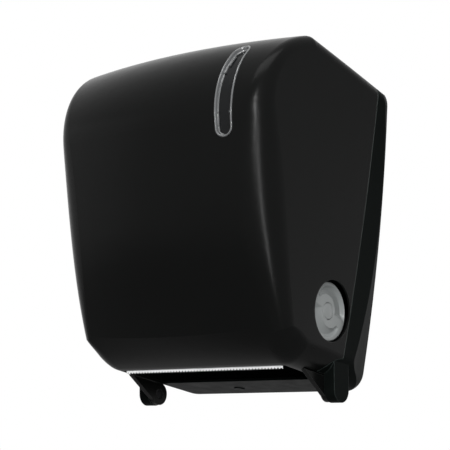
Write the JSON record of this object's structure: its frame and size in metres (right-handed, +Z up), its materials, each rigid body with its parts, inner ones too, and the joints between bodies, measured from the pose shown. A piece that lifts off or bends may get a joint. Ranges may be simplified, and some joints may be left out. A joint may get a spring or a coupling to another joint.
{
  "type": "roll towel dispenser",
  "caption": "Wall-hung roll towel dispenser: rounded black cover hinged at its foot, rear housing, cutting drum with side feed knob, pressure roller, sprung roll arms and tear outlet.",
  "frame": {"origin": "middle of the flat wall face of the housing", "axes": "+Y into the wall, -Y to the room, +Z up, +X to the side with the feed knob"},
  "size_m": [0.315, 0.212, 0.37],
  "materials": {
    "cover_plastic": "smooth black, soft gloss",
    "housing_plastic": "smooth black",
    "smoke_window": "smoked clear plastic",
    "knob_plastic": "mid grey, satin",
    "frame_plastic": "moulded black",
    "white_plastic": "moulded off-white",
    "roller_rubber": "fine matt",
    "plated_steel": "zinc plated",
    "stainless_steel": "rolled and stamped",
    "lock_chrome": "polished",
    "spring_steel": "drawn wire"
  },
  "bodies": {
    "housing": {"rear_housing": "housing_plastic", "cheek_left": "frame_plastic", "cheek_right": "frame_plastic", "front_tie_bar": "plated_steel", "rear_tie_bar": "plated_steel", "tie_screws": "plated_steel", "foot_screws": "plated_steel", "paper_guide": "frame_plastic", "shaft_bush_left": "white_plastic", "shaft_bush_right": "white_plastic", "cam_ring": "frame_plastic", "pawl_pin": "plated_steel", "hinge_pin_left": "plated_steel", "hinge_pin_right": "plated_steel", "roll_arm_left": "white_plastic", "hub_axle_left": "plated_steel", "arm_bracket": "plated_steel", "arm_pin": "plated_steel", "lock_striker": "plated_steel", "block_spring_left": "spring_steel", "block_spring_right": "spring_steel", "floor_plug": "housing_plastic"},
    "cover": {"front_cover": "cover_plastic", "sight_window": "smoke_window", "tear_strip": "stainless_steel", "strip_screws": "plated_steel", "lock_body": "lock_chrome", "lock_nut": "plated_steel"},
    "lock": {"lock_core": "lock_chrome", "lock_tongue": "plated_steel"},
    "drum": {"drum_shell_front": "frame_plastic", "drum_shell_rear": "frame_plastic", "drum_end_left": "frame_plastic", "drum_end_right": "frame_plastic", "drum_shaft": "plated_steel", "grip_bands": "roller_rubber", "ratchet_wheel": "frame_plastic", "feed_knob": "knob_plastic", "knob_cap": "knob_plastic", "knob_screw": "plated_steel"},
    "knife": {"knife_carrier": "frame_plastic", "knife_blade": "stainless_steel", "knife_pins": "plated_steel", "cam_arm": "plated_steel", "cam_follower": "white_plastic"},
    "pressure_blocks": {"axle_block_left": "white_plastic", "axle_block_right": "white_plastic"},
    "pressure_roller": {"pressure_axle": "plated_steel", "pressure_sleeves": "roller_rubber"},
    "pawl": {"pawl": "white_plastic"},
    "right_roll_arm": {"roll_arm_right": "white_plastic", "hub_axle_right": "plated_steel"},
    "left_roll_hub": {"roll_hub_left": "white_plastic"},
    "right_roll_hub": {"roll_hub_right": "white_plastic"}
  },
  "joints": [
    {"name": "cover_hinge", "type": "hinge", "parent": "housing", "child": "cover", "pos_m": [0, -0.056, -0.159], "axis": [1, 0, 0], "range_deg": [0, 100]},
    {"name": "lock_turn", "type": "hinge", "parent": "cover", "child": "lock", "pos_m": [0, -0.045, 0.16939], "axis": [0, 0.3173, 0.9483], "range_deg": [0, 90]},
    {"name": "drum_turn", "type": "hinge", "parent": "housing", "child": "drum", "pos_m": [0, -0.0786, -0.0804], "axis": [1, 0, 0], "continuous": true},
    {"name": "knife_swing", "type": "hinge", "parent": "drum", "child": "knife", "pos_m": [0, -0.10935, -0.07487], "axis": [-1, 0, 0], "range_deg": [0, 16], "stiffness_Nm_per_rad": 0.3, "springref_deg": -8.59},
    {"name": "pressure_lift", "type": "slide", "parent": "housing", "child": "pressure_blocks", "axis": [0, 0, 1], "range_m": [0, 0.003], "stiffness_N_per_m": 400, "springref_m": -0.01, "deforming": ["block_spring_left", "block_spring_right"]},
    {"name": "pressure_spin", "type": "hinge", "parent": "pressure_blocks", "child": "pressure_roller", "pos_m": [0, -0.0786, -0.0276], "axis": [1, 0, 0], "continuous": true},
    {"name": "pawl_swing", "type": "hinge", "parent": "housing", "child": "pawl", "pos_m": [-0.114, -0.0526, -0.0604], "axis": [1, 0, 0], "range_deg": [0, 9], "stiffness_Nm_per_rad": 0.04, "springref_deg": -11.46},
    {"name": "roll_arm_flex", "type": "hinge", "parent": "housing", "child": "right_roll_arm", "pos_m": [0.1145, -0.012, 0.088], "axis": [0, 0, 1], "range_deg": [0, 8], "stiffness_Nm_per_rad": 2, "springref_deg": -11.46},
    {"name": "hub_left_spin", "type": "hinge", "parent": "housing", "child": "left_roll_hub", "pos_m": [-0.107, -0.106, 0.088], "axis": [1, 0, 0], "continuous": true},
    {"name": "hub_right_spin", "type": "hinge", "parent": "right_roll_arm", "child": "right_roll_hub", "pos_m": [0.107, -0.106, 0.088], "axis": [1, 0, 0], "continuous": true}
  ],
  "couplings": [
    {"joint": "pressure_spin", "follows": "drum_turn", "ratio": -4.5263}
  ]
}
